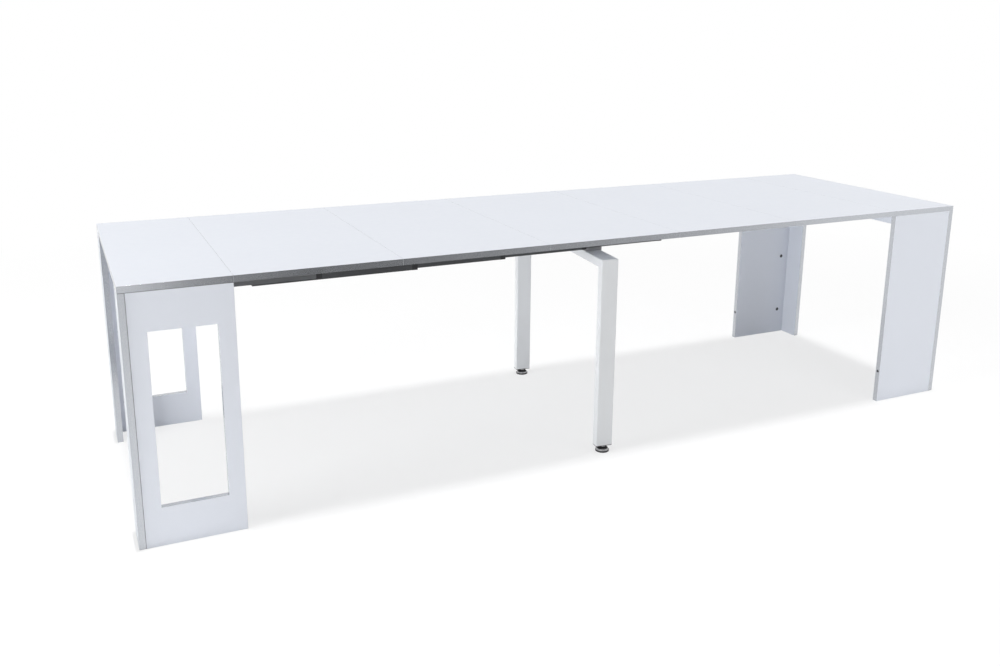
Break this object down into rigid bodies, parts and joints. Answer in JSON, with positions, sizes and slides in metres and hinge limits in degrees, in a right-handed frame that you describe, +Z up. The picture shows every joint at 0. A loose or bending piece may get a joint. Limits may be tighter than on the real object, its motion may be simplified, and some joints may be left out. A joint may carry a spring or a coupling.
{
  "type": "extending console table",
  "caption": "White console table pulled out to a long dining table: end consoles on L-shaped board legs, loose leaves on nested telescopic rails, and a steel centre leg frame.",
  "frame": {"origin": "on the floor, under the middle of the extended table", "axes": "+X along the table towards the console with plain panels, +Y to the back, +Z up"},
  "size_m": [3.04, 0.9, 0.76],
  "materials": {
    "white_board": "smooth white melamine on board, satin",
    "rail_aluminium": "dark anodised extrusion, satin",
    "frame_paint": "light grey-white powder coat",
    "zinc_steel": "zinc-plated steel",
    "dark_steel": "black painted steel",
    "foot_plastic": "black plastic pad under a satin metal cap",
    "insert_plastic": "black moulded plastic",
    "bumper_plastic": "dark grey soft plastic",
    "dowel_wood": "turned hardwood dowel"
  },
  "bodies": {
    "left_console": {"left_front_panel": "white_board", "left_front_return": "white_board", "left_front_apron": "white_board", "left_back_panel": "white_board", "left_back_return": "white_board", "left_back_apron": "white_board", "left_top": "white_board", "left_middle_apron": "white_board", "left_cam_fittings": "dark_steel", "left_bumpers": "bumper_plastic", "front_rail_guide": "rail_aluminium", "back_rail_guide": "rail_aluminium", "guide_screws": "zinc_steel"},
    "right_console": {"right_front_panel": "white_board", "right_front_return": "white_board", "right_front_apron": "white_board", "right_back_panel": "white_board", "right_back_return": "white_board", "right_back_apron": "white_board", "right_top": "white_board", "right_middle_apron": "white_board", "right_cam_fittings": "dark_steel", "right_bumpers": "bumper_plastic", "front_rail_bar": "rail_aluminium", "back_rail_bar": "rail_aluminium", "rail_bar_screws": "zinc_steel", "right_top_pins": "dowel_wood"},
    "rail_stage_1": {"front_rail_channel_1": "rail_aluminium", "back_rail_channel_1": "rail_aluminium"},
    "rail_stage_2": {"front_rail_channel_2": "rail_aluminium", "back_rail_channel_2": "rail_aluminium"},
    "rail_stage_3": {"front_rail_channel_3": "rail_aluminium", "back_rail_channel_3": "rail_aluminium"},
    "rail_stage_4": {"front_rail_channel_4": "rail_aluminium", "back_rail_channel_4": "rail_aluminium", "centre_leg_crossbar": "frame_paint", "centre_leg_front_upright": "frame_paint", "centre_leg_back_upright": "frame_paint", "centre_leg_necks": "dark_steel", "centre_leg_bolts": "zinc_steel", "centre_leg_inserts": "insert_plastic", "foot_lock_nuts": "zinc_steel"},
    "rail_stage_5": {"front_rail_channel_5": "rail_aluminium", "back_rail_channel_5": "rail_aluminium"},
    "rail_stage_6": {"front_rail_channel_6": "rail_aluminium", "back_rail_channel_6": "rail_aluminium"},
    "rail_stage_7": {"front_rail_channel_7": "rail_aluminium", "back_rail_channel_7": "rail_aluminium"},
    "front_foot": {"front_foot": "foot_plastic"},
    "back_foot": {"back_foot": "foot_plastic"},
    "leaf_1": {"leaf_1": "white_board", "leaf_1_pins": "dowel_wood"},
    "leaf_2": {"leaf_2": "white_board", "leaf_2_pins": "dowel_wood"},
    "leaf_3": {"leaf_3": "white_board", "leaf_3_pins": "dowel_wood"},
    "leaf_4": {"leaf_4": "white_board", "leaf_4_pins": "dowel_wood"},
    "leaf_5": {"leaf_5": "white_board", "leaf_5_pins": "dowel_wood"}
  },
  "joints": [
    {"name": "extension_slide", "type": "slide", "parent": "left_console", "child": "right_console", "axis": [1, 0, 0], "range_m": [-2.44, 0]},
    {"name": "rail_stage_1_slide", "type": "slide", "parent": "left_console", "child": "rail_stage_1", "axis": [1, 0, 0], "range_m": [-0.305, 0]},
    {"name": "rail_stage_2_slide", "type": "slide", "parent": "left_console", "child": "rail_stage_2", "axis": [1, 0, 0], "range_m": [-0.61, 0]},
    {"name": "rail_stage_3_slide", "type": "slide", "parent": "left_console", "child": "rail_stage_3", "axis": [1, 0, 0], "range_m": [-0.915, 0]},
    {"name": "rail_stage_4_slide", "type": "slide", "parent": "left_console", "child": "rail_stage_4", "axis": [1, 0, 0], "range_m": [-1.22, 0]},
    {"name": "rail_stage_5_slide", "type": "slide", "parent": "left_console", "child": "rail_stage_5", "axis": [1, 0, 0], "range_m": [-1.525, 0]},
    {"name": "rail_stage_6_slide", "type": "slide", "parent": "left_console", "child": "rail_stage_6", "axis": [1, 0, 0], "range_m": [-1.83, 0]},
    {"name": "rail_stage_7_slide", "type": "slide", "parent": "left_console", "child": "rail_stage_7", "axis": [1, 0, 0], "range_m": [-2.135, 0]},
    {"name": "leaf_1_lift", "type": "slide", "parent": "left_console", "child": "leaf_1", "axis": [-0.7734, 0, 0.6339], "range_m": [0, 0.31549]},
    {"name": "leaf_2_lift", "type": "slide", "parent": "left_console", "child": "leaf_2", "axis": [-0.8775, 0, 0.4795], "range_m": [0, 0.83416]},
    {"name": "leaf_3_lift", "type": "slide", "parent": "left_console", "child": "leaf_3", "axis": [-0.8973, 0, 0.4413], "range_m": [0, 1.35956]},
    {"name": "leaf_4_lift", "type": "slide", "parent": "left_console", "child": "leaf_4", "axis": [-0.9056, 0, 0.4242], "range_m": [0, 1.88607]},
    {"name": "leaf_5_lift", "type": "slide", "parent": "left_console", "child": "leaf_5", "axis": [-0.9101, 0, 0.4144], "range_m": [0, 2.41297]},
    {"name": "front_foot_turn", "type": "hinge", "parent": "rail_stage_4", "child": "front_foot", "pos_m": [-0.00204, -0.40271, 0], "axis": [0, 0, 1], "continuous": true},
    {"name": "back_foot_turn", "type": "hinge", "parent": "rail_stage_4", "child": "back_foot", "pos_m": [0.08404, 0.40271, 0], "axis": [0, 0, 1], "continuous": true}
  ],
  "couplings": [
    {"joint": "rail_stage_1_slide", "follows": "extension_slide", "ratio": 0.125},
    {"joint": "rail_stage_2_slide", "follows": "extension_slide", "ratio": 0.25},
    {"joint": "rail_stage_3_slide", "follows": "extension_slide", "ratio": 0.375},
    {"joint": "rail_stage_4_slide", "follows": "extension_slide", "ratio": 0.5},
    {"joint": "rail_stage_5_slide", "follows": "extension_slide", "ratio": 0.625},
    {"joint": "rail_stage_6_slide", "follows": "extension_slide", "ratio": 0.75},
    {"joint": "rail_stage_7_slide", "follows": "extension_slide", "ratio": 0.875},
    {"joint": "leaf_1_lift", "follows": "extension_slide", "ratio": -0.1293},
    {"joint": "leaf_2_lift", "follows": "extension_slide", "ratio": -0.34187},
    {"joint": "leaf_3_lift", "follows": "extension_slide", "ratio": -0.5572},
    {"joint": "leaf_4_lift", "follows": "extension_slide", "ratio": -0.77298},
    {"joint": "leaf_5_lift", "follows": "extension_slide", "ratio": -0.98892}
  ]
}
